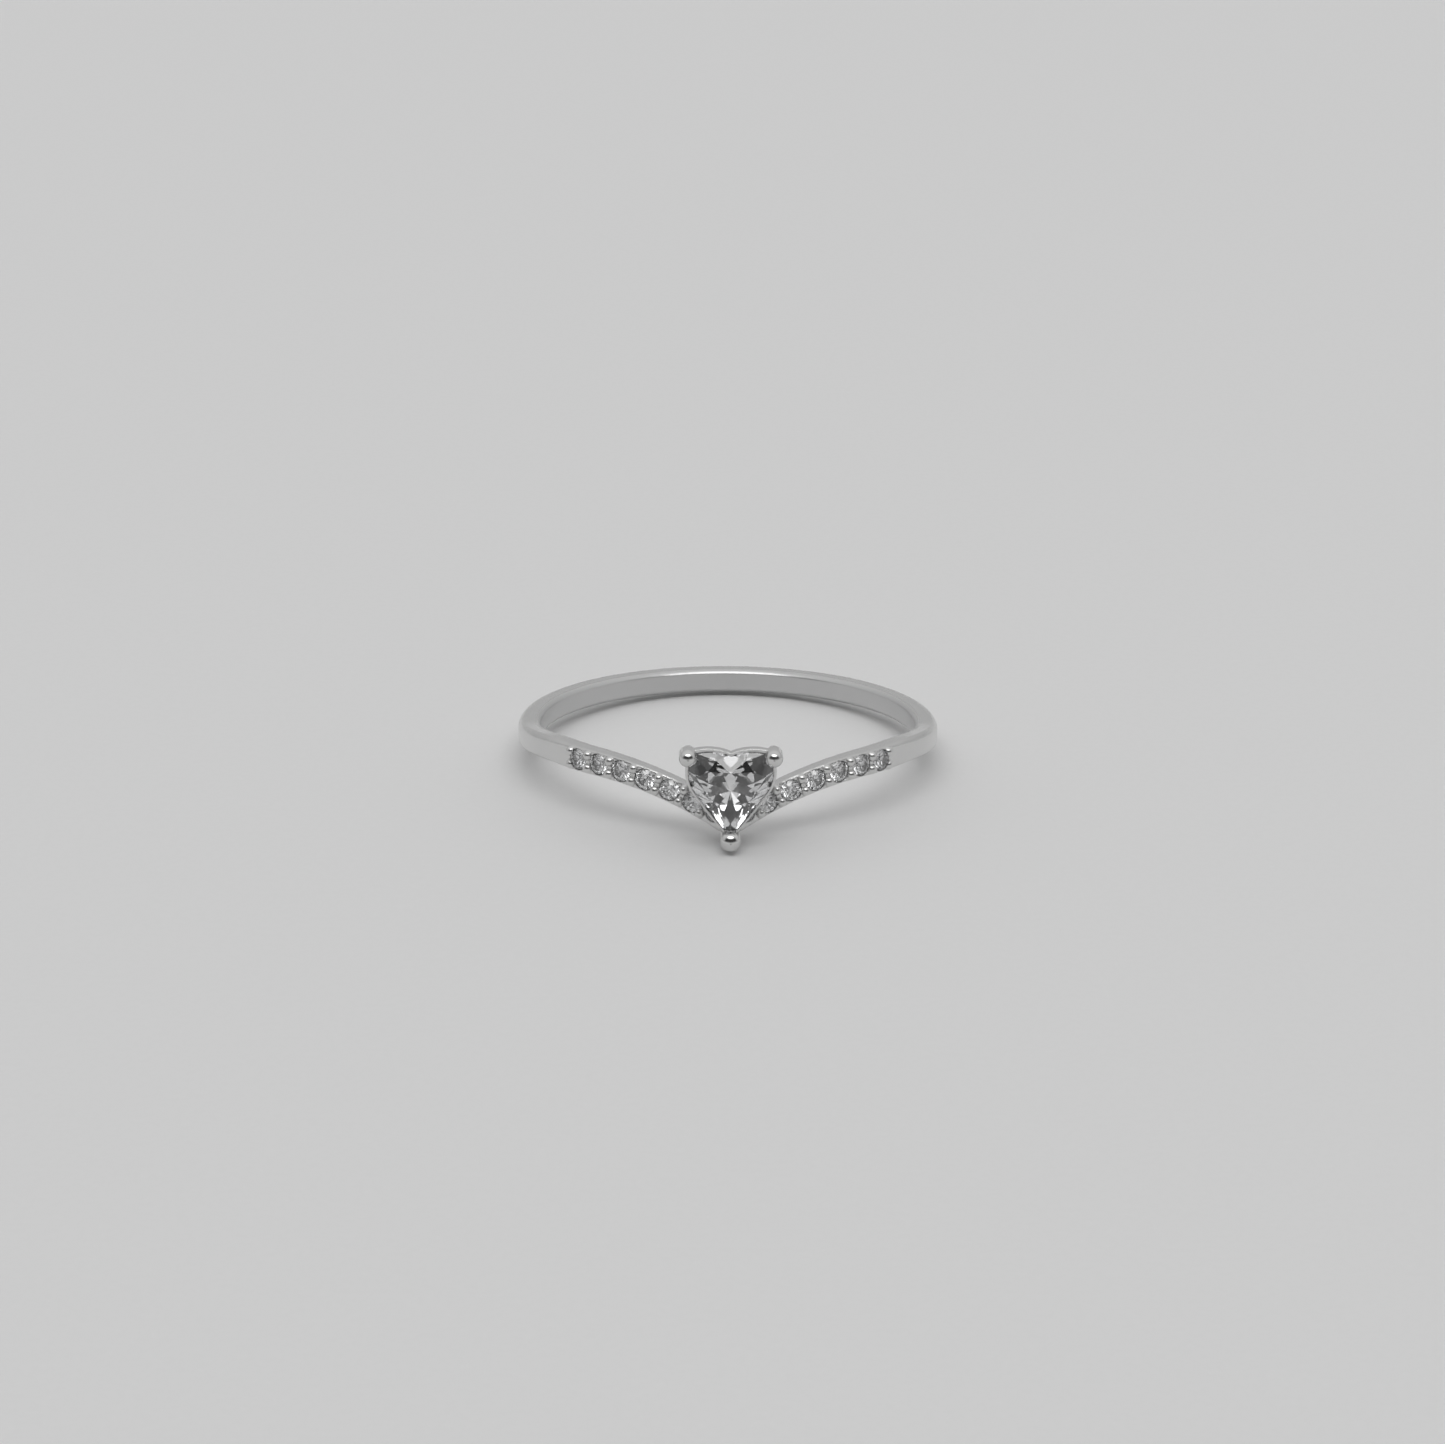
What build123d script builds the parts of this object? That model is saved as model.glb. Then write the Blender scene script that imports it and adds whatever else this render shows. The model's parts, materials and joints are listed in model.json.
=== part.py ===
from build123d import *
from build123d import SkipClean
import math
import os

# Heart ring: a slim silver band that dips to a point under a heart-cut stone.
# Both arms carry a row of round stones held by small beads.
# The ring is drawn about its finger axis (Z) with the heart at -Y.
# It is then laid down on its back edge and its lowest prong.

# Round stones in the arms, in millimetres
PAVE_COUNT = 6
PAVE_CORNERS = 16
PAVE_DIAMETER = 0.96
PAVE_WEB = 0.26
PAVE_SUNK = 0.05
PAVE_GIRDLE = 0.03
PAVE_CROWN = 0.15
PAVE_PAVILION = 0.4
PAVE_TABLE_SHARE = 0.56
PAVE_GAP = 0.02
PAVE_LIP = 0.06
PAVE_PITCH = PAVE_DIAMETER + PAVE_WEB

# Band: its width leaves a lip of metal beside each round stone
FINGER_BORE = 17.3
BAND_THICKNESS = 1.05
BAND_WIDTH = PAVE_DIAMETER + 2 * (PAVE_GAP + PAVE_LIP)
CHEVRON_DROP = 2.16
CHEVRON_REACH = 6.3
SHOULDER_RISE = 0.6
OUTER_CORNER_BACK = 0.34
OUTER_CORNER_FRONT = 0.09
INNER_CORNER_BACK = 0.28
INNER_CORNER_FRONT = 0.4
BORE_EASE = 0.02
BORE_RADIUS = FINGER_BORE / 2
OUTER_RADIUS = BORE_RADIUS + BAND_THICKNESS

# Angles round the band in degrees, 0 at the heart and 180 at the back
SHOULDER_START = 92
SHOULDER_END = 50
CORNER_CHANGE_START = 72
CORNER_CHANGE_END = 40
SECTION_ANGLES = (-9, 0, 9, 18, 27, 36, 45, 54, 63, 72, 81, 90, 102, 118, 136, 154, 171, 189, 206)
SLOPE_STEP = 0.5
WALK_STEP = 0.05

# Heart stone: its point lies a little below the middle of the tip, and its culet stays clear of the finger
HEART_WIDTH = 3.72
HEART_HEIGHT = 3.85
HEART_ABOVE_BAND = 1.05
HEART_BELOW_TIP = 0.19
HEART_CROWN = 0.5
HEART_GIRDLE = 0.06
HEART_TABLE_SHARE = 0.6
HEART_FACET_SPREAD = 1.035
CULET_CLEARANCE = 0.6
HEART_PAVILION = BAND_THICKNESS + HEART_ABOVE_BAND - HEART_GIRDLE / 2 - CULET_CLEARANCE
HEART_GIRDLE_RADIUS = OUTER_RADIUS + HEART_ABOVE_BAND
HEART_LIFT = SHOULDER_RISE - CHEVRON_DROP - HEART_BELOW_TIP + HEART_HEIGHT / 2

# Heart collet
STONE_GAP = 0.02
COLLET_WALL = 0.13
COLLET_RIM_ABOVE_GIRDLE = 0.1
COLLET_DEPTH = 0.42
COLLET_FINGER_CLEARANCE = 0.35
COLLET_BACK_SHARE = 0.78
SEAT_BELOW_GIRDLE = 0.12
COLLET_BACK = BORE_RADIUS + COLLET_FINGER_CLEARANCE - HEART_GIRDLE_RADIUS

# Prongs
PRONG_RADIUS = 0.4
POINT_PRONG_RADIUS = 0.48
PRONG_ABOVE_GIRDLE = 0.25
PRONG_STRAIGHT = 0.6
PRONG_BITE = 0.3
PRONG_ROOT_RADIUS = 0.24
PRONG_ROOT_SHARE = 0.96

# Beads raised from the band between the round stones, each bending a little over its stones
BEAD_OFFSET_SHARE = 0.268
BEAD_BITE = 0.03
BEAD_SUNK = 0.02
BEAD_CROWN_ROOM = 0.075
END_BEAD_TUCK = 0.02
BEAD_OFFSET = BAND_WIDTH * BEAD_OFFSET_SHARE
BEAD_RADIUS = math.hypot(PAVE_PITCH / 2, BEAD_OFFSET) - PAVE_DIAMETER / 2 + BEAD_BITE
END_BEAD_STEP = PAVE_DIAMETER / 2 - END_BEAD_TUCK

# First round stone: its inner edge lies this far inside the widest line of the heart
PAVE_INSIDE_HEART = 0.72
PAVE_FIRST_ACROSS = HEART_WIDTH / 2 + PAVE_DIAMETER / 2 - PAVE_INSIDE_HEART

# Smaller stone of each arm beside the tip, half hidden by the heart
TIP_STONE_DIAMETER = 0.72
TIP_STONE_WEB = 0.2
TIP_STONE_SHARE = TIP_STONE_DIAMETER / PAVE_DIAMETER
TIP_STONE_STEP = PAVE_DIAMETER / 2 + TIP_STONE_DIAMETER / 2 + TIP_STONE_WEB

# Facets of every cut stone, as shares of its width and of the depth of its crown or pavilion
STAR_LIFT = 0.6
ROUND_KEEL = (0.25, 0.8)
HEART_KEEL = (0.55, 0.52)

# Half outline of the heart as arcs: across as a share of half the width, up as a share of the height
# Columns: start across, start up, middle across, middle up, end across, end up, chords
HEART_ARCS = (
    (0.0, 0.45, 0.46, 0.5, 0.865, 0.474, 2),
    (0.865, 0.474, 1.0, 0.266, 0.9, 0.05, 2),
    (0.9, 0.05, 0.496, -0.22, 0.0, -0.5, 2),
)

# Places of the two upper prongs, as shares of half the heart's width and of its height
UPPER_PRONG_ACROSS = 1.016
UPPER_PRONG_UP = 0.437


def blend(value, start, end):
    """Smooth step from 0 at start to 1 at end."""
    share = min(max((value - start) / (end - start), 0.0), 1.0)
    return share * share * (3 - 2 * share)


def shoulder_share(angle):
    """How far the shoulder has risen at this angle, from 0 at the back to 1 at the front."""
    return blend(abs(angle), SHOULDER_START, SHOULDER_END)


def band_height(angle, radius):
    """Height of the band's middle line where a radial plane meets a cylinder of this radius."""
    across = radius * math.sin(math.radians(angle))
    side = across if angle < 0 else abs(across)
    share = max(1 - side / CHEVRON_REACH, 0.0)
    drop = CHEVRON_DROP * share * share if angle < 90 else 0.0
    return SHOULDER_RISE * shoulder_share(angle) - drop


def band_slope(angle):
    """Slope of the middle line along the outer face, as height over length."""
    ahead = band_height(angle + SLOPE_STEP, OUTER_RADIUS)
    behind = band_height(angle - SLOPE_STEP, OUTER_RADIUS)
    rise = ahead - behind
    if abs(angle) < SLOPE_STEP:
        rise = 2 * (ahead - band_height(angle, OUTER_RADIUS))
    return rise / (OUTER_RADIUS * math.radians(2 * SLOPE_STEP))


def band_section(angle):
    """Outline of the band in the radial plane at this angle: four sides and four rounded corners."""
    half = BAND_WIDTH / 2 * math.sqrt(1 + band_slope(angle) ** 2)
    front = blend(abs(angle), CORNER_CHANGE_START, CORNER_CHANGE_END)
    outer_corner = OUTER_CORNER_BACK + (OUTER_CORNER_FRONT - OUTER_CORNER_BACK) * front
    inner_corner = INNER_CORNER_BACK + (INNER_CORNER_FRONT - INNER_CORNER_BACK) * front
    inner = BORE_RADIUS - BORE_EASE
    inner_mid = band_height(angle, inner)
    outer_mid = band_height(angle, OUTER_RADIUS)
    corners = (
        (inner, inner_mid - half, inner_corner),
        (OUTER_RADIUS, outer_mid - half, outer_corner),
        (OUTER_RADIUS, outer_mid + half, outer_corner),
        (inner, inner_mid + half, inner_corner),
    )
    return radial_plane(angle).location * Wire(rounded_outline(corners))


def radial_plane(angle):
    """Plane through the finger axis, with X pointing outwards and Y up."""
    turn = math.radians(angle)
    outward = (math.sin(turn), -math.cos(turn), 0)
    return Plane(origin=(0, 0, 0), x_dir=outward, z_dir=(-math.cos(turn), -math.sin(turn), 0))


def rounded_outline(corners):
    """Closed outline through corners (x, y, radius), with each corner replaced by its tangent arc."""
    joints = []
    count = len(corners)
    for index in range(count):
        x, y, radius = corners[index]
        here = Vector(x, y)
        before = (Vector(*corners[index - 1][:2]) - here).normalized()
        after = (Vector(*corners[(index + 1) % count][:2]) - here).normalized()
        half_angle = math.radians(before.get_angle(after)) / 2
        reach = radius / math.tan(half_angle)
        middle = here + (before + after).normalized() * (radius / math.sin(half_angle) - radius)
        joints.append((here + before * reach, middle, here + after * reach))
    edges = []
    for index in range(count):
        start, middle, end = joints[index]
        edges.append(ThreePointArc(start, middle, end))
        edges.append(Line(end, joints[(index + 1) % count][0]))
    return edges


def half_band():
    """The right half of the band: lofted past both ends, trimmed at the middle plane and bored."""
    long_half = Solid.make_loft([band_section(angle) for angle in SECTION_ANGLES])
    reach = 2 * OUTER_RADIUS
    keep = Pos(reach / 2, 0, 0) * Box(reach, 2 * reach, reach)
    return (long_half & keep) - Cylinder(BORE_RADIUS, reach)


def brilliant(outline, table_share, crown, girdle, pavilion, keel):
    """Cut stone over an even outline about its centre, girdle at height 0 and table facing +Z."""
    star_share = (1 + table_share) / 2
    star_height = girdle / 2 + STAR_LIFT * crown
    keel_share, keel_depth = keel
    keel_height = -girdle / 2 - keel_depth * pavilion
    count = len(outline)
    upper = [(x, y, girdle / 2) for x, y in outline]
    lower = [(x, y, -girdle / 2) for x, y in outline]
    table = [(x * table_share, y * table_share, girdle / 2 + crown) for x, y in outline[::2]]
    stars = [(x * star_share, y * star_share, star_height) for x, y in outline[1::2]]
    keels = [(x * keel_share, y * keel_share, keel_height) for x, y in outline[1::2]]
    culet = (0, 0, -girdle / 2 - pavilion)
    facets = [table]
    for index in range(count):
        after = (index + 1) % count
        facets.append([lower[index], lower[after], upper[after], upper[index]])
        facets.append([upper[index], upper[after], stars[index // 2]])
        facets.append([lower[index], lower[after], keels[index // 2]])
    for index in range(count // 2):
        before = index - 1
        after = (index + 1) % (count // 2)
        facets.append([table[index], table[after], stars[index]])
        facets.append([table[index], stars[before], upper[2 * index]])
        facets.append([table[index], upper[2 * index], stars[index]])
        facets.append([lower[2 * index], keels[before], culet])
        facets.append([lower[2 * index], culet, keels[index]])
    return Solid(Shell([Face(Wire.make_polygon(facet, close=True)) for facet in facets]))


def heart_arcs(size, side):
    """Half outline of the heart as three arcs, from the cleft round the lobe to the point."""
    half_width = side * HEART_WIDTH / 2 * size
    height = HEART_HEIGHT * size
    arcs = []
    for across_1, up_1, across_2, up_2, across_3, up_3, _ in HEART_ARCS:
        shares = ((across_1, up_1), (across_2, up_2), (across_3, up_3))
        places = [(across * half_width, up * height) for across, up in shares]
        arcs.append(Edge.make_three_point_arc(*places))
    return arcs


def heart_points():
    """Girdle corners of the heart stone, from the cleft down the right side and up the left."""
    right = []
    for arc, (*_, chords) in zip(heart_arcs(1.0, 1), HEART_ARCS):
        for chord in range(chords):
            place = arc @ (chord / chords)
            right.append((place.X, place.Y))
    point = (0.0, -HEART_HEIGHT / 2)
    left = [(-x, y) for x, y in reversed(right[1:])]
    return right + [point] + left


def heart_wire(size, height):
    """Whole outline of the heart, this many times its size, at this height over the girdle."""
    return Pos(0, 0, height) * Wire(heart_arcs(size, 1) + heart_arcs(size, -1)[::-1])


def heart_block(low_size, low, high_size, high):
    """Solid with heart outlines at two heights and straight sides between them."""
    return Solid.make_loft([heart_wire(low_size, low), heart_wire(high_size, high)], ruled=True)


def heart_stone():
    """Heart-cut stone with its girdle at height 0: flat facets on a curved outline."""
    outline = [(x * HEART_FACET_SPREAD, y * HEART_FACET_SPREAD) for x, y in heart_points()]
    facets = brilliant(outline, HEART_TABLE_SHARE, HEART_CROWN, HEART_GIRDLE, HEART_PAVILION, HEART_KEEL)
    blank = heart_block(1.0, -HEART_GIRDLE - HEART_PAVILION, 1.0, HEART_GIRDLE + HEART_CROWN)
    return (facets & blank).solid()


def collet():
    """Heart-shaped cup: a straight rim round the girdle and a tapered wall behind it, open at both ends."""
    inside = 1 + 2 * STONE_GAP / HEART_WIDTH
    outside = inside + 2 * COLLET_WALL / HEART_WIDTH
    rim = HEART_GIRDLE / 2 + COLLET_RIM_ABOVE_GIRDLE
    rim_back = rim - COLLET_DEPTH
    seat = -HEART_GIRDLE / 2 - SEAT_BELOW_GIRDLE
    cup = heart_block(outside, rim_back, outside, rim)
    cup += heart_block(outside * COLLET_BACK_SHARE, COLLET_BACK, outside, rim_back)
    keel_share, keel_depth = HEART_KEEL
    drawn_in = (1 - keel_share) * SEAT_BELOW_GIRDLE / (keel_depth * HEART_PAVILION)
    seat_share = HEART_FACET_SPREAD * (1 - drawn_in) + 2 * STONE_GAP / HEART_WIDTH
    back_share = outside * COLLET_BACK_SHARE - 2 * COLLET_WALL / HEART_WIDTH
    well = heart_block(inside, seat, inside, rim + COLLET_WALL)
    well += heart_block(back_share, COLLET_BACK, seat_share, seat)
    return cup - well


def wire_between(start, end, start_radius, end_radius):
    """Round wire from one place to another, tapered if the radii differ."""
    line = Vector(*end) - Vector(*start)
    plane = Plane(origin=start, z_dir=line)
    circles = [plane.location * Wire.make_circle(start_radius)]
    circles.append(plane.location * Pos(0, 0, line.length) * Wire.make_circle(end_radius))
    return Solid.make_loft(circles, ruled=True)


def upper_prong(side):
    """Round wire with a ball end beside a lobe, its root leaning in to the back of the collet."""
    across = side * UPPER_PRONG_ACROSS * HEART_WIDTH / 2
    up = UPPER_PRONG_UP * HEART_HEIGHT
    lean = COLLET_BACK_SHARE * PRONG_ROOT_SHARE
    root = (across * lean, up * lean, COLLET_BACK + PRONG_ROOT_RADIUS)
    bend = (across, up, PRONG_ABOVE_GIRDLE - PRONG_STRAIGHT)
    tip = (across, up, PRONG_ABOVE_GIRDLE)
    prong = Pos(*tip) * Sphere(PRONG_RADIUS)
    prong += wire_between(bend, tip, PRONG_RADIUS, PRONG_RADIUS)
    prong += wire_between(root, bend, PRONG_ROOT_RADIUS, PRONG_RADIUS)
    return prong


def point_prong_height():
    """Height of the lowest prong from the heart's centre: it bites a little over the stone's point."""
    return -HEART_HEIGHT / 2 - POINT_PRONG_RADIUS + PRONG_BITE


def point_prong():
    """Straight round wire with a ball end, rooted in the middle of the band's thickness."""
    root = (0, point_prong_height(), -HEART_ABOVE_BAND - BAND_THICKNESS / 2)
    tip = (0, point_prong_height(), PRONG_ABOVE_GIRDLE)
    prong = Pos(*tip) * Sphere(POINT_PRONG_RADIUS)
    return prong + wire_between(root, tip, POINT_PRONG_RADIUS, POINT_PRONG_RADIUS)


def head_location():
    """Centre of the heart's girdle, with Z pointing outwards from the finger."""
    return Plane(origin=(0, -HEART_GIRDLE_RADIUS, HEART_LIFT), x_dir=(1, 0, 0), z_dir=(0, -1, 0)).location


def head():
    """Collet and prongs, cut clear of the stone."""
    clear_stone = scale(heart_stone(), 1 + 2 * STONE_GAP / HEART_WIDTH)
    prongs = upper_prong(-1) + upper_prong(1) + point_prong()
    return head_location() * (collet() + (prongs - clear_stone))


def walk(angle, length):
    """Angle reached by walking this far along the middle line of the outer face."""
    step = math.copysign(WALK_STEP, length)
    walked = 0.0
    while walked < abs(length):
        walked += OUTER_RADIUS * math.radians(WALK_STEP) * math.sqrt(1 + band_slope(angle) ** 2)
        angle += step
    return angle


def pave_angles():
    """Angles of the round stones of one arm, from the heart outwards."""
    first = math.degrees(math.asin(PAVE_FIRST_ACROSS / OUTER_RADIUS))
    return [walk(first, PAVE_PITCH * index) for index in range(PAVE_COUNT)]


def face_location(angle, side, sunk):
    """Place on the outer face's middle line, X along the arm, Z outwards, this far under the face."""
    turn = math.radians(angle)
    outward = Vector(side * math.sin(turn), -math.cos(turn), 0)
    slope = band_slope(angle)
    along = Vector(side * math.cos(turn), math.sin(turn), slope).normalized()
    place = outward * (OUTER_RADIUS - sunk) + Vector(0, 0, band_height(angle, OUTER_RADIUS))
    return Plane(origin=place, x_dir=along, z_dir=outward).location


def round_stone():
    """Round brilliant-cut stone with its girdle at height 0."""
    radius = PAVE_DIAMETER / 2
    turns = [2 * math.pi * corner / PAVE_CORNERS for corner in range(PAVE_CORNERS)]
    outline = [(radius * math.cos(turn), radius * math.sin(turn)) for turn in turns]
    return brilliant(outline, PAVE_TABLE_SHARE, PAVE_CROWN, PAVE_GIRDLE, PAVE_PAVILION, ROUND_KEEL)


def pavilion_seat():
    """Cone under a round stone and a straight wall round its girdle, open outwards."""
    radius = PAVE_DIAMETER / 2 + PAVE_GAP
    shelf = -PAVE_GIRDLE / 2 - PAVE_GAP
    wall = PAVE_SUNK + PAVE_CROWN + PAVE_GAP
    cone = Cone(PAVE_GAP, radius, PAVE_PAVILION + PAVE_GAP, align=(Align.CENTER, Align.CENTER, Align.MAX))
    drum = Cylinder(radius, wall - shelf, align=(Align.CENTER, Align.CENTER, Align.MIN))
    return Pos(0, 0, shelf) * (cone + drum)


def tip_location(side):
    """Place of the smaller stone beside the tip."""
    angle = walk(pave_angles()[0], -TIP_STONE_STEP)
    return face_location(angle, side, PAVE_SUNK * TIP_STONE_SHARE)


def crown_clearance():
    """Room kept for a round stone's girdle and crown where a bead bends over it."""
    radius = PAVE_DIAMETER / 2 + PAVE_GAP
    shelf = PAVE_GIRDLE / 2 + PAVE_GAP
    table_radius = radius * PAVE_TABLE_SHARE + BEAD_CROWN_ROOM
    crown = Cone(radius, table_radius, PAVE_CROWN, align=(Align.CENTER, Align.CENTER, Align.MIN))
    drum = Cylinder(radius, 2 * BEAD_RADIUS, align=(Align.CENTER, Align.CENTER, Align.MAX))
    return Pos(0, 0, shelf) * (crown + drum)


def arm_beads():
    """Pairs of beads halfway between the stones of the right arm, and one pair past each end stone."""
    angles = pave_angles()
    places = [walk(angles[0], -END_BEAD_STEP)]
    places += [walk(angle, PAVE_PITCH / 2) for angle in angles[:-1]]
    places.append(walk(angles[-1], END_BEAD_STEP))
    beads = []
    for index, angle in enumerate(places):
        neighbours = angles[max(index - 1, 0):index + 1]
        for offset in (BEAD_OFFSET, -BEAD_OFFSET):
            bead = face_location(angle, 1, BEAD_SUNK) * Pos(0, offset, 0) * Sphere(BEAD_RADIUS)
            for neighbour in neighbours:
                bead -= face_location(neighbour, 1, PAVE_SUNK) * crown_clearance()
            beads.append(bead)
    return beads


def silver_ring():
    """Half band with its seats and beads, mirrored, with the head soldered on.

    The bore stays two faces that meet in the middle plane, one to each half of the model.
    """
    seat = pavilion_seat()
    tip_seat = scale(seat, TIP_STONE_SHARE)
    seats = [face_location(angle, 1, PAVE_SUNK) * seat for angle in pave_angles()]
    seats.append(tip_location(1) * tip_seat)
    half = half_band().cut(*seats).fuse(*arm_beads())
    top = head().cut(tip_location(-1) * tip_seat, tip_location(1) * tip_seat)
    with SkipClean():
        return half.fuse(mirror(half, about=Plane.YZ), glue=True) + top


def resting_tilt():
    """Tilt that brings the back edge and the lowest part of the front on to the same level."""
    back = OUTER_RADIUS - OUTER_CORNER_BACK
    back_up = -BAND_WIDTH / 2 + OUTER_CORNER_BACK
    tip_low = band_height(0, OUTER_RADIUS) - BAND_WIDTH / 2 * math.sqrt(1 + band_slope(0) ** 2)
    fronts = (
        (HEART_GIRDLE_RADIUS + PRONG_ABOVE_GIRDLE, HEART_LIFT + point_prong_height(), POINT_PRONG_RADIUS),
        (OUTER_RADIUS, tip_low, 0.0),
    )
    tilts = []
    for reach, up, radius in fronts:
        length = math.hypot(reach + back, back_up - up)
        lift = math.atan2(back_up - up, reach + back)
        tilts.append(lift + math.asin((radius - OUTER_CORNER_BACK) / length))
    return math.degrees(max(tilts))


def named_pieces():
    """Every piece by its node name, about the finger axis."""
    pieces = {"silver_ring": silver_ring(), "heart_stone": head_location() * heart_stone()}
    gem = round_stone()
    for name, side in (("left", -1), ("right", 1)):
        pieces[f"tip_stone_{name}"] = tip_location(side) * scale(gem, TIP_STONE_SHARE)
        for number, angle in enumerate(pave_angles(), start=1):
            pieces[f"pave_stone_{name}_{number}"] = face_location(angle, side, PAVE_SUNK) * gem
    return pieces


def laid_down(pieces):
    """The pieces turned to the resting pose, centred over the origin with the lowest point at height 0."""
    tilt = Rot(-resting_tilt(), 0, 0)
    turned = {name: tilt * piece for name, piece in pieces.items()}
    box = turned["silver_ring"].bounding_box().add(turned["heart_stone"].bounding_box())
    shift = Pos(-(box.min.X + box.max.X) / 2, -(box.min.Y + box.max.Y) / 2, -box.min.Z)
    return {name: shift * piece for name, piece in turned.items()}


os.makedirs("parts", exist_ok=True)
for node, piece in laid_down(named_pieces()).items():
    export_step(piece, f"parts/{node}.step")
    print(f"{node}: volume {piece.volume:.3f} mm3")
print(f"resting tilt {resting_tilt():.2f} degrees")
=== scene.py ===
# %% [markdown]
# # A heart ring, seen lying on its side
#
# This lesson dresses a finished CAD model of a finger ring for a product picture.
# The solids already have the ring's real shape and size, so nothing is modelled twice here.
# What is left for Blender is how light meets them: the floor, the light tent, the polished metal
# and the cut stones.

# %% Load the solids
import json
import math
import bpy
from mathutils import Matrix, Vector


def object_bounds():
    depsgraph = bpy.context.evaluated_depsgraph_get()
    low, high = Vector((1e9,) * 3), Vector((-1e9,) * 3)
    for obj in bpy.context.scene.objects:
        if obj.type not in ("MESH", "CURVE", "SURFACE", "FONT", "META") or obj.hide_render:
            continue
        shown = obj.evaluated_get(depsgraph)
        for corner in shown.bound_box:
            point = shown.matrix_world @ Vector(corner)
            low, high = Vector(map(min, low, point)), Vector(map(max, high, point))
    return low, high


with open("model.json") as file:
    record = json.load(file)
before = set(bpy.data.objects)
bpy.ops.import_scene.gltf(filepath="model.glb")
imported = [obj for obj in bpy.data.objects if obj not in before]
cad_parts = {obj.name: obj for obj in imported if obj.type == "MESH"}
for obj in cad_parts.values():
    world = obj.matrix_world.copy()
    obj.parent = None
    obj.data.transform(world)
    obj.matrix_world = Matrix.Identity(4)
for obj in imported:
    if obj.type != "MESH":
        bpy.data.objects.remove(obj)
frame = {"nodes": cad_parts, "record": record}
cad_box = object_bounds()
scene = bpy.context.scene
MM = 0.001
print("solids:", ", ".join(sorted(frame["nodes"])))
print("CAD box in mm:", [[round(value / MM, 3) for value in corner] for corner in cad_box])

# %% [markdown]
# ## Colours as they are picked
#
# A colour picked from a screen is an sRGB hex value, but light adds up in linear values.
# One function turns the first into the second, so that every colour below can be read as it looks.

# %% Colour
def linear(hex_colour):
    """Linear RGBA of an sRGB colour such as '#C8C8C8'."""
    channels = []
    for place in (1, 3, 5):
        value = int(hex_colour[place:place + 2], 16) / 255
        channels.append(value / 12.92 if value <= 0.04045 else ((value + 0.055) / 1.055) ** 2.4)
    return (*channels, 1.0)


print("middle grey is", round(linear("#BCBCBC")[0], 3), "in linear light")

# %% [markdown]
# ## Shader nodes
#
# A material is a small network. Adding a node by hand takes a line for each setting and each link.
# This helper does all of that at once: settings and links are given by the name, or by the number,
# of the input.

# %% Node helper
def add_node(tree, kind, settings=None, links=None):
    """One node of this kind, with its settings made and its inputs linked."""
    node = tree.nodes.new(kind)
    for name, value in (settings or {}).items():
        if isinstance(name, int) or name in node.inputs:
            node.inputs[name].default_value = value
        else:
            setattr(node, name, value)
    for name, socket in (links or {}).items():
        tree.links.new(socket, node.inputs[name])
    return node


def new_material(name):
    """An empty node material and its tree."""
    material = bpy.data.materials.new(name)
    material.use_nodes = True
    material.node_tree.nodes.clear()
    return material, material.node_tree


print("node helper ready")

# %% [markdown]
# ## Where the camera looks from
#
# The picture is taken from a little above the floor. The angle was worked out from the outline of
# the band: a round band looks like an ellipse, and the height of that ellipse gives the elevation.
# The camera also leans by under half a degree, as one set up by hand does.

# %% Camera angle
CAMERA_AZIMUTH = math.radians(-0.73)
CAMERA_ELEVATION = math.radians(20.99)
CAMERA_ROLL = math.radians(0.42)


def camera_axes():
    """Right, up and backward directions of the camera."""
    flat = math.cos(CAMERA_ELEVATION)
    sideways = math.sin(CAMERA_AZIMUTH) * flat
    towards_front = -math.cos(CAMERA_AZIMUTH) * flat
    back = Vector((sideways, towards_front, math.sin(CAMERA_ELEVATION)))
    right = Vector((0, 0, 1)).cross(back).normalized()
    up = back.cross(right)
    leaning_right = right * math.cos(CAMERA_ROLL) + up * math.sin(CAMERA_ROLL)
    return leaning_right, back.cross(leaning_right), back


right, up, back = camera_axes()
print("camera looks down by", round(math.degrees(CAMERA_ELEVATION), 1), "degrees")

# %% [markdown]
# ## The camera
#
# A long lens from 20 cm away keeps the round band from looking stretched.
# The camera aims a hair beside the middle of the band, so that the ring sits where it should
# in the picture.

# %% Camera
LENS_MM = 107.45
SENSOR_MM = 36
CAMERA_DISTANCE = 200 * MM
BAND_MIDDLE = Vector((0.0, 0.961, 1.572)) * MM
AIM_LEFT = 0.246 * MM
AIM_UP = 0.385 * MM
NEAREST_SEEN = 0.01
FARTHEST_SEEN = 20

eye = BAND_MIDDLE + back * CAMERA_DISTANCE - right * AIM_LEFT + up * AIM_UP
camera_data = bpy.data.cameras.new("camera")
camera_data.lens = LENS_MM
camera_data.sensor_width = SENSOR_MM
camera_data.clip_start = NEAREST_SEEN
camera_data.clip_end = FARTHEST_SEEN
camera = bpy.data.objects.new("camera", camera_data)
camera.matrix_world = Matrix.Translation(eye) @ Matrix((right, up, back)).transposed().to_4x4()
scene.collection.objects.link(camera)
scene.camera = camera
print("camera stands", round(eye.length / MM), "mm from the middle of the ring")

# %% [markdown]
# ## The floor
#
# The ring lies on matt white card. A flat disc is the simplest mesh for it.
# It is so wide that its edge is far behind the ring, and outside the picture from this camera.

# %% Floor mesh
FLOOR_RADIUS = 6.0
FLOOR_SIDES = 96


def floor_disc():
    """A flat disc at height 0."""
    turns = [2 * math.pi * side / FLOOR_SIDES for side in range(FLOOR_SIDES)]
    corners = [(FLOOR_RADIUS * math.cos(turn), FLOOR_RADIUS * math.sin(turn), 0) for turn in turns]
    mesh = bpy.data.meshes.new("floor")
    mesh.from_pydata(corners, [], [tuple(range(FLOOR_SIDES))])
    disc = bpy.data.objects.new("floor", mesh)
    scene.collection.objects.link(disc)
    return disc


floor = floor_disc()
print("floor radius", FLOOR_RADIUS, "m")

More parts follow.
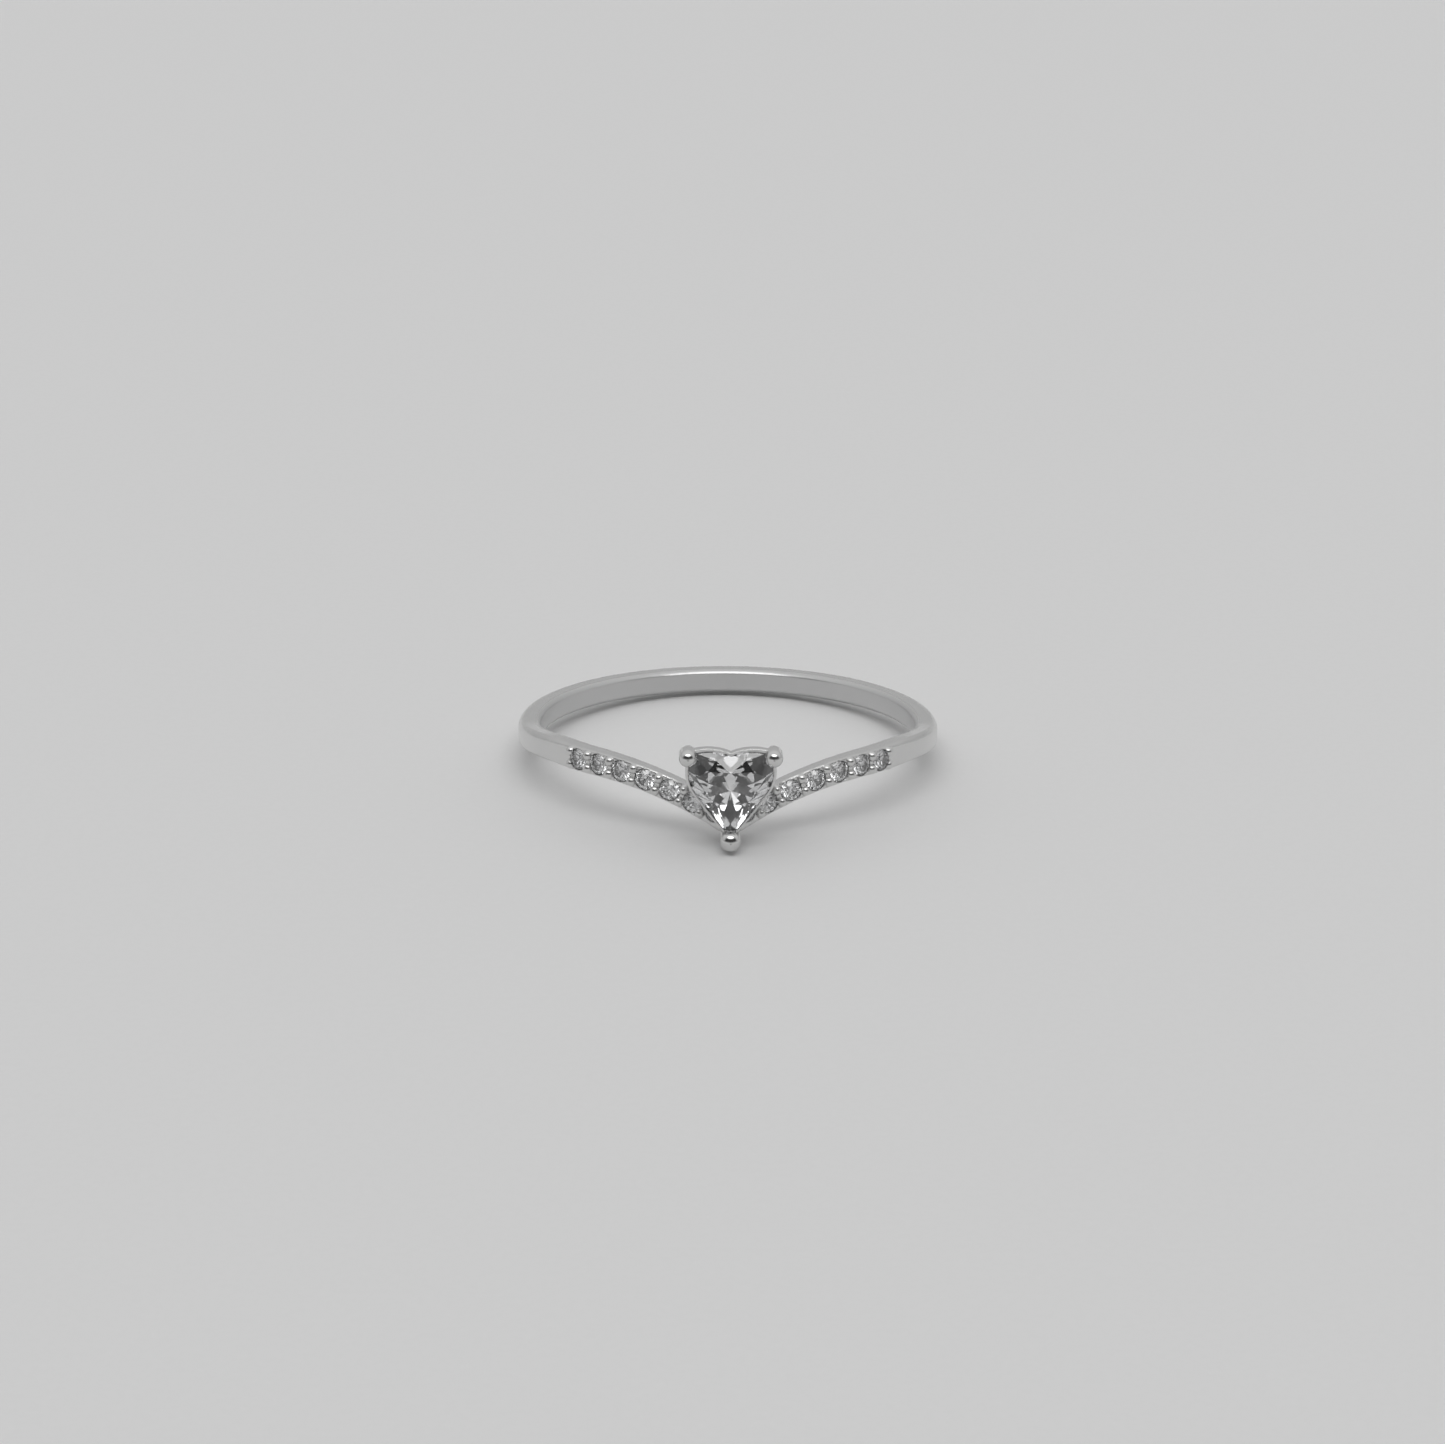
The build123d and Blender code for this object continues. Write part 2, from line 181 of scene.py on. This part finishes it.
# %% [markdown]
# ### Matt card
#
# Uncoated card is paper fibre: white, fully rough, with a grain of about a third of a millimetre.
# It scatters light evenly, so it shows soft shadows and no mirror image.
# Two close greys mixed by noise give that grain, and the same noise drives a shallow bump.

# %% Card material
CARD_GRAIN_MM = 0.35
CARD_RELIEF_MM = 0.01
CARD_LIGHT = "#E8E8E8"
CARD_DARK = "#E5E5E5"

card, tree = new_material("uncoated_white_card")
place = add_node(tree, "ShaderNodeTexCoord")
grain = add_node(
    tree, "ShaderNodeTexNoise",
    {"Scale": 1 / (CARD_GRAIN_MM * MM), "Detail": 3.0},
    {"Vector": place.outputs["Object"]},
)
shade = add_node(
    tree, "ShaderNodeMix",
    {"data_type": "RGBA", 6: linear(CARD_DARK), 7: linear(CARD_LIGHT)},
    {0: grain.outputs["Fac"]},
)
relief = add_node(
    tree, "ShaderNodeBump",
    {"Strength": 0.15, "Distance": CARD_RELIEF_MM * MM},
    {"Height": grain.outputs["Fac"]},
)
surface = add_node(
    tree, "ShaderNodeBsdfPrincipled",
    {"Roughness": 1.0, "Specular IOR Level": 0.1},
    {"Base Color": shade.outputs[2], "Normal": relief.outputs["Normal"]},
)
add_node(tree, "ShaderNodeOutputMaterial", links={"Surface": surface.outputs["BSDF"]})
floor.data.materials.append(card)
print("card grain", CARD_GRAIN_MM, "mm")

# %% [markdown]
# ## The light tent
#
# Jewellers photograph polished rings inside a white tent, because a mirror shows whatever stands
# round it. The tent could be a dome mesh with lamps, but its light depends on direction alone,
# so the World can draw it without any mesh. It gets brighter from the horizon to overhead.

# %% Tent dome
TENT_LOW = 0.47
TENT_HIGH = 0.70

tent = bpy.data.worlds.new("light_tent")
scene.world = tent
tent.use_nodes = True
tree = tent.node_tree
tree.nodes.clear()
direction = add_node(tree, "ShaderNodeTexCoord").outputs["Generated"]
split = add_node(tree, "ShaderNodeSeparateXYZ", links={"Vector": direction})
dome = add_node(
    tree, "ShaderNodeMapRange",
    {"interpolation_type": "SMOOTHSTEP", "To Min": TENT_LOW, "To Max": TENT_HIGH},
    {"Value": split.outputs["Z"]},
)
print("tent light from", TENT_LOW, "at the horizon to", TENT_HIGH, "overhead")

# %% [markdown]
# ### Patches of the tent
#
# A real tent has places that are brighter or darker than its cloth, with soft edges.
# Such a patch is a product of fades, one across each of its edges. Every edge is a pair:
# where the patch begins to show, and where it is at its full strength.

# %% Tent patch
def tent_patch(edges, strength):
    """How strong the patch is in each direction: the product of the fades across its edges."""
    level = None
    for position, (begins, full) in edges:
        fade = add_node(
            tree, "ShaderNodeMapRange",
            {"interpolation_type": "SMOOTHSTEP", "From Min": begins, "From Max": full},
            {"Value": position},
        )
        links = {0: fade.outputs["Result"]}
        if level is not None:
            links[1] = level
        product = add_node(tree, "ShaderNodeMath", {"operation": "MULTIPLY", 1: strength}, links)
        level = product.outputs["Value"]
    return level


print("patch helper ready")

# %% [markdown]
# ### The window
#
# The first thing that a polished ball shows is a bright window high in front of the ring.
# It fades in between 46 and 50 degrees up and ends about 20 degrees short of overhead.
# It is wider than it is high, which gives each ball its short bright bar.

# %% Window
WINDOW_LIGHT = 2.4
WINDOW_BOTTOM = (0.72, 0.77)
WINDOW_FAR_EDGE = (-0.28, -0.36)
WINDOW_HALF_WIDTH = (0.52, 0.44)

aside = add_node(tree, "ShaderNodeMath", {"operation": "ABSOLUTE"}, {0: split.outputs["X"]})
window_edges = (
    (split.outputs["Z"], WINDOW_BOTTOM),
    (split.outputs["Y"], WINDOW_FAR_EDGE),
    (aside.outputs["Value"], WINDOW_HALF_WIDTH),
)
window = tent_patch(window_edges, WINDOW_LIGHT)
print("window adds", WINDOW_LIGHT, "to the tent's light")

# %% [markdown]
# ### The slot
#
# The second thing is a dark slot right under the window, where the tent is open for the lens.
# It reaches from a few degrees above the floor up to the window, and far round to both sides.
# Its height is read from the direction's Z. Its sides need the angle on the floor plan,
# so the direction is flattened and compared with the way to the lens.

# %% Slot
SLOT_SHADE = 0.9
SLOT_TOP = (math.sin(math.radians(46)), math.sin(math.radians(41)))
SLOT_BOTTOM = (math.sin(math.radians(5)), math.sin(math.radians(11)))
SLOT_SIDE = (math.cos(math.radians(75)), math.cos(math.radians(62)))
FLOOR_PLAN = (1.0, 1.0, 0.0)
WAY_TO_LENS = (0.0, -1.0, 0.0)

flattened = add_node(
    tree, "ShaderNodeVectorMath",
    {"operation": "MULTIPLY", 1: FLOOR_PLAN},
    {0: direction},
)
heading = add_node(
    tree, "ShaderNodeVectorMath",
    {"operation": "NORMALIZE"},
    {0: flattened.outputs["Vector"]},
)
towards_lens = add_node(
    tree, "ShaderNodeVectorMath",
    {"operation": "DOT_PRODUCT", 1: WAY_TO_LENS},
    {0: heading.outputs["Vector"]},
)
slot_edges = (
    (split.outputs["Z"], SLOT_TOP),
    (split.outputs["Z"], SLOT_BOTTOM),
    (towards_lens.outputs["Value"], SLOT_SIDE),
)
slot = tent_patch(slot_edges, SLOT_SHADE)
print("slot takes away", SLOT_SHADE, "of the tent's light")

# %% [markdown]
# ### The tent put together
#
# The window adds to the dome, and the slot takes its share of the sum away.

# %% Tent light
lit = add_node(
    tree, "ShaderNodeMath",
    {"operation": "ADD"},
    {0: dome.outputs["Result"], 1: window},
)
closed = add_node(tree, "ShaderNodeMath", {"operation": "SUBTRACT", 0: 1.0}, {1: slot})
tent_light = add_node(
    tree, "ShaderNodeMath",
    {"operation": "MULTIPLY"},
    {0: lit.outputs["Value"], 1: closed.outputs["Value"]},
)
glow = add_node(
    tree, "ShaderNodeBackground",
    {"Color": linear("#FFFFFF")},
    {"Strength": tent_light.outputs["Value"]},
)
add_node(tree, "ShaderNodeOutputWorld", links={"Surface": glow.outputs["Background"]})
print("tent nodes:", len(tree.nodes))

# %% [markdown]
# ## How the picture is developed
#
# The standard view turns light into the greys of a plain camera file, with no film curve over it.
# That keeps the pale floor as pale as it is and the metal's soft greys apart.

# %% View
scene.view_settings.view_transform = "Standard"
print("view transform:", scene.view_settings.view_transform)

# %% [markdown]
# ## Polished silver
#
# The ring is cast sterling silver under a thin rhodium plate, buffed on a soft wheel.
# Rhodium is a slightly darker and colder white than bare silver. The wheel leaves shallow patches
# of a millimetre or two, so the tone wanders between two close greys in patches of that size.

# %% Silver tone
RHODIUM_LIGHT = "#DFDFDE"
RHODIUM_DARK = "#D3D3D3"
BUFF_PATCH_MM = 1.6

silver, tree = new_material("buffed_rhodium_plated_silver")
place = add_node(tree, "ShaderNodeTexCoord").outputs["Object"]
patches = add_node(
    tree, "ShaderNodeTexNoise",
    {"Scale": 1 / (BUFF_PATCH_MM * MM), "Detail": 4.0, "Roughness": 0.6},
    {"Vector": place},
)
tone = add_node(
    tree, "ShaderNodeMix",
    {"data_type": "RGBA", 6: linear(RHODIUM_DARK), 7: linear(RHODIUM_LIGHT)},
    {0: patches.outputs["Fac"]},
)
print("buffed patches of about", BUFF_PATCH_MM, "mm")

# %% [markdown]
# ### Painted shade in the recesses
#
# Seats and the corners round the beads get painted shade, a grey a shade duller than
# the plate. The occlusion node finds them: it tells how open a point is to its surroundings.

# %% Recesses
RECESS_SHADE_GREY = "#D2D2D1"
RECESS_MM = 0.16
SHADE_OPENNESS = (0.15, 0.6)

recess = add_node(tree, "ShaderNodeAmbientOcclusion", {"samples": 4, "Distance": RECESS_MM * MM})
openness = add_node(
    tree, "ShaderNodeMapRange",
    {"From Min": SHADE_OPENNESS[0], "From Max": SHADE_OPENNESS[1]},
    {"Value": recess.outputs["AO"]},
)
# Painted shade: points closed in by their surroundings are mixed towards the darker grey.
recess_shaded = add_node(
    tree, "ShaderNodeMix",
    {"data_type": "RGBA", 6: linear(RECESS_SHADE_GREY)},
    {0: openness.outputs["Result"], 7: tone.outputs[2]},
)
print("recesses narrower than", RECESS_MM, "mm keep some paste")

# %% [markdown]
# ### Three finishes on one casting
#
# The shape of a ring decides how its metal is finished. A burnishing tool brightens the beads,
# the prongs and the collet, which stand out past the band. The wheel buffs the band.
# The finger side is only tumbled in a barrel, which leaves it softer; its darker grey is painted
# shade.
# All three can be told apart by how far a point is from the finger axis, and the frame's record
# says where that axis is.

# %% Distance from the finger axis
finger_bore = frame["record"]["mounts"][0]
from_axis = add_node(
    tree, "ShaderNodeVectorMath",
    {"operation": "SUBTRACT", 1: tuple(finger_bore["pos_m"])},
    {0: place},
)
across_axis = add_node(
    tree, "ShaderNodeVectorMath",
    {"operation": "CROSS_PRODUCT", 1: tuple(finger_bore["axis"])},
    {0: from_axis.outputs["Vector"]},
)
axis_distance = add_node(
    tree, "ShaderNodeVectorMath",
    {"operation": "LENGTH"},
    {0: across_axis.outputs["Vector"]},
).outputs["Value"]
finger_radius = finger_bore["dims"]["r_mm"] * MM
band_outside = cad_box[1][0]
print("band from", round(finger_radius / MM, 2), "to", round(band_outside / MM, 2), "mm from the axis")

# %% [markdown]
# ### Buffed and burnished
#
# A buffed surface is bright but softens what it mirrors, a little more in some patches.
# A burnished one is almost a mirror. The change between them is a step of a few hundredths
# of a millimetre, just outside the band.

# %% Outside finish
BUFF_ROUGHNESS = (0.17, 0.24)
PATCH_SPREAD = (0.3, 0.7)
BURNISHED_ROUGHNESS = 0.07
BURNISHED_FROM_MM = (0.01, 0.05)

buffed = add_node(
    tree, "ShaderNodeMapRange",
    {
        "From Min": PATCH_SPREAD[0], "From Max": PATCH_SPREAD[1],
        "To Min": BUFF_ROUGHNESS[0], "To Max": BUFF_ROUGHNESS[1],
    },
    {"Value": patches.outputs["Fac"]},
)
raised = add_node(
    tree, "ShaderNodeMapRange",
    {
        "From Min": band_outside + BURNISHED_FROM_MM[0] * MM,
        "From Max": band_outside + BURNISHED_FROM_MM[1] * MM,
    },
    {"Value": axis_distance},
)
outside_roughness = add_node(
    tree, "ShaderNodeMix",
    {"data_type": "FLOAT", 3: BURNISHED_ROUGHNESS},
    {0: raised.outputs["Result"], 2: buffed.outputs["Result"]},
)
print("roughness: buffed", BUFF_ROUGHNESS, "burnished", BURNISHED_ROUGHNESS)

# %% [markdown]
# ### The finger side
#
# The tumbled finish and the finger side's painted shade end where the wheel reaches, on the
# rounded corners of the bore. So both fade out over them, within a third of a millimetre of the
# finger.

# %% Finger side
INSIDE_ROUGHNESS = 0.34
INSIDE_PAINTED_SHADE = "#D0D0D0"
INSIDE_FADE_MM = (0.35, 0.05)

inside = add_node(
    tree, "ShaderNodeMapRange",
    {
        "From Min": finger_radius + INSIDE_FADE_MM[0] * MM,
        "From Max": finger_radius + INSIDE_FADE_MM[1] * MM,
    },
    {"Value": axis_distance},
)
# Painted shade: the finger side is coloured a darker grey than the plate.
colour = add_node(
    tree, "ShaderNodeMix",
    {"data_type": "RGBA", 7: linear(INSIDE_PAINTED_SHADE)},
    {0: inside.outputs["Result"], 6: recess_shaded.outputs[2]},
)
roughness = add_node(
    tree, "ShaderNodeMix",
    {"data_type": "FLOAT", 3: INSIDE_ROUGHNESS},
    {0: inside.outputs["Result"], 2: outside_roughness.outputs[0]},
)
print("finger side roughness", INSIDE_ROUGHNESS)

# %% [markdown]
# ### Relief too fine to model
#
# Corners never stay sharp on a buffed ring, so a small bevel in the shader rounds every edge
# and lets it catch light. The wheel also leaves waves a hundredth of a millimetre or two deep,
# and hairlines. Real hairlines are a few thousandths of a millimetre wide.
# They are drawn ten times as coarse, which is about one pixel of the picture.

# %% Relief
BUFFED_EDGE_MM = 0.09
WAVE_DEPTH_MM = 0.02
WAVE_STRENGTH = 0.25
HAIRLINE_MM = 0.05
HAIRLINE_DEPTH_MM = 0.002
HAIRLINE_STRENGTH = 0.08

edges = add_node(tree, "ShaderNodeBevel", {"samples": 4, "Radius": BUFFED_EDGE_MM * MM})
waves = add_node(
    tree, "ShaderNodeBump",
    {"Strength": WAVE_STRENGTH, "Distance": WAVE_DEPTH_MM * MM},
    {"Height": patches.outputs["Fac"], "Normal": edges.outputs["Normal"]},
)
hairlines = add_node(
    tree, "ShaderNodeTexNoise",
    {"Scale": 1 / (HAIRLINE_MM * MM), "Detail": 2.0},
    {"Vector": place},
)
scratches = add_node(
    tree, "ShaderNodeBump",
    {"Strength": HAIRLINE_STRENGTH, "Distance": HAIRLINE_DEPTH_MM * MM},
    {"Height": hairlines.outputs["Fac"], "Normal": waves.outputs["Normal"]},
)
print("edges are buffed to a radius of", BUFFED_EDGE_MM, "mm")

# %% [markdown]
# ### The metal itself
#
# For a metal the base colour is what it mirrors back, so metallic is full and the index
# of refraction stays as it is.

# %% Silver surface
surface = add_node(
    tree, "ShaderNodeBsdfPrincipled",
    {"Metallic": 1.0},
    {
        "Base Color": colour.outputs[2],
        "Roughness": roughness.outputs[0],
        "Normal": scratches.outputs["Normal"],
    },
)
add_node(tree, "ShaderNodeOutputMaterial", links={"Surface": surface.outputs["BSDF"]})
print(silver.name, "has", len(tree.nodes), "nodes")

# %% [markdown]
# ## Cut stones
#
# The stones are colourless cubic zirconia, cut and polished like diamond.
# Its index of refraction, 2.15, is far above glass: light that enters the crown is thrown back by
# the pavilion, so each facet shows another part of the tent, white, grey or dark.
# That is why no pattern is painted here, and the facets of the solids do the work.
# A real stone is never quite clear. Growth bands under half a millimetre wide shift its tint
# and its gloss by a hair, and the thin film that handling leaves scatters one part in fifty.

# %% Stone material
ZIRCONIA_CLEAR = "#FFFFFF"
ZIRCONIA_BANDS = "#F2F3F5"
ZIRCONIA_BAND_MM = 0.4
ZIRCONIA_IOR = 2.15
ZIRCONIA_CLARITY = 0.98
HAZE_SPREAD = (0.4, 0.8)
HAZE_ROUGHNESS = 0.02

zirconia, tree = new_material("polished_cubic_zirconia")
place = add_node(tree, "ShaderNodeTexCoord").outputs["Object"]
bands = add_node(
    tree, "ShaderNodeTexNoise",
    {"Scale": 1 / (ZIRCONIA_BAND_MM * MM), "Detail": 2.0},
    {"Vector": place},
)
tint = add_node(
    tree, "ShaderNodeMix",
    {"data_type": "RGBA", 6: linear(ZIRCONIA_BANDS), 7: linear(ZIRCONIA_CLEAR)},
    {0: bands.outputs["Fac"]},
)
haze = add_node(
    tree, "ShaderNodeMapRange",
    {"From Min": HAZE_SPREAD[0], "From Max": HAZE_SPREAD[1], "To Max": HAZE_ROUGHNESS},
    {"Value": bands.outputs["Fac"]},
)
surface = add_node(
    tree, "ShaderNodeBsdfPrincipled",
    {"IOR": ZIRCONIA_IOR, "Transmission Weight": ZIRCONIA_CLARITY},
    {"Base Color": tint.outputs[2], "Roughness": haze.outputs["Result"]},
)
add_node(tree, "ShaderNodeOutputMaterial", links={"Surface": surface.outputs["BSDF"]})
print("index of refraction", ZIRCONIA_IOR)

# %% [markdown]
# ## Dress the solids
#
# Each solid keeps its own mesh and gets the material of what it is made of, chosen by its name:
# the ring is the one piece of metal, and all others are stones.

# %% Dress
def dress(piece, material):
    """This material as the only one of the piece."""
    piece.data.materials.clear()
    piece.data.materials.append(material)


for name, piece in frame["nodes"].items():
    dress(piece, silver if name == "silver_ring" else zirconia)
    print(f"{name}: {piece.data.materials[0].name}, {len(piece.data.polygons)} faces")
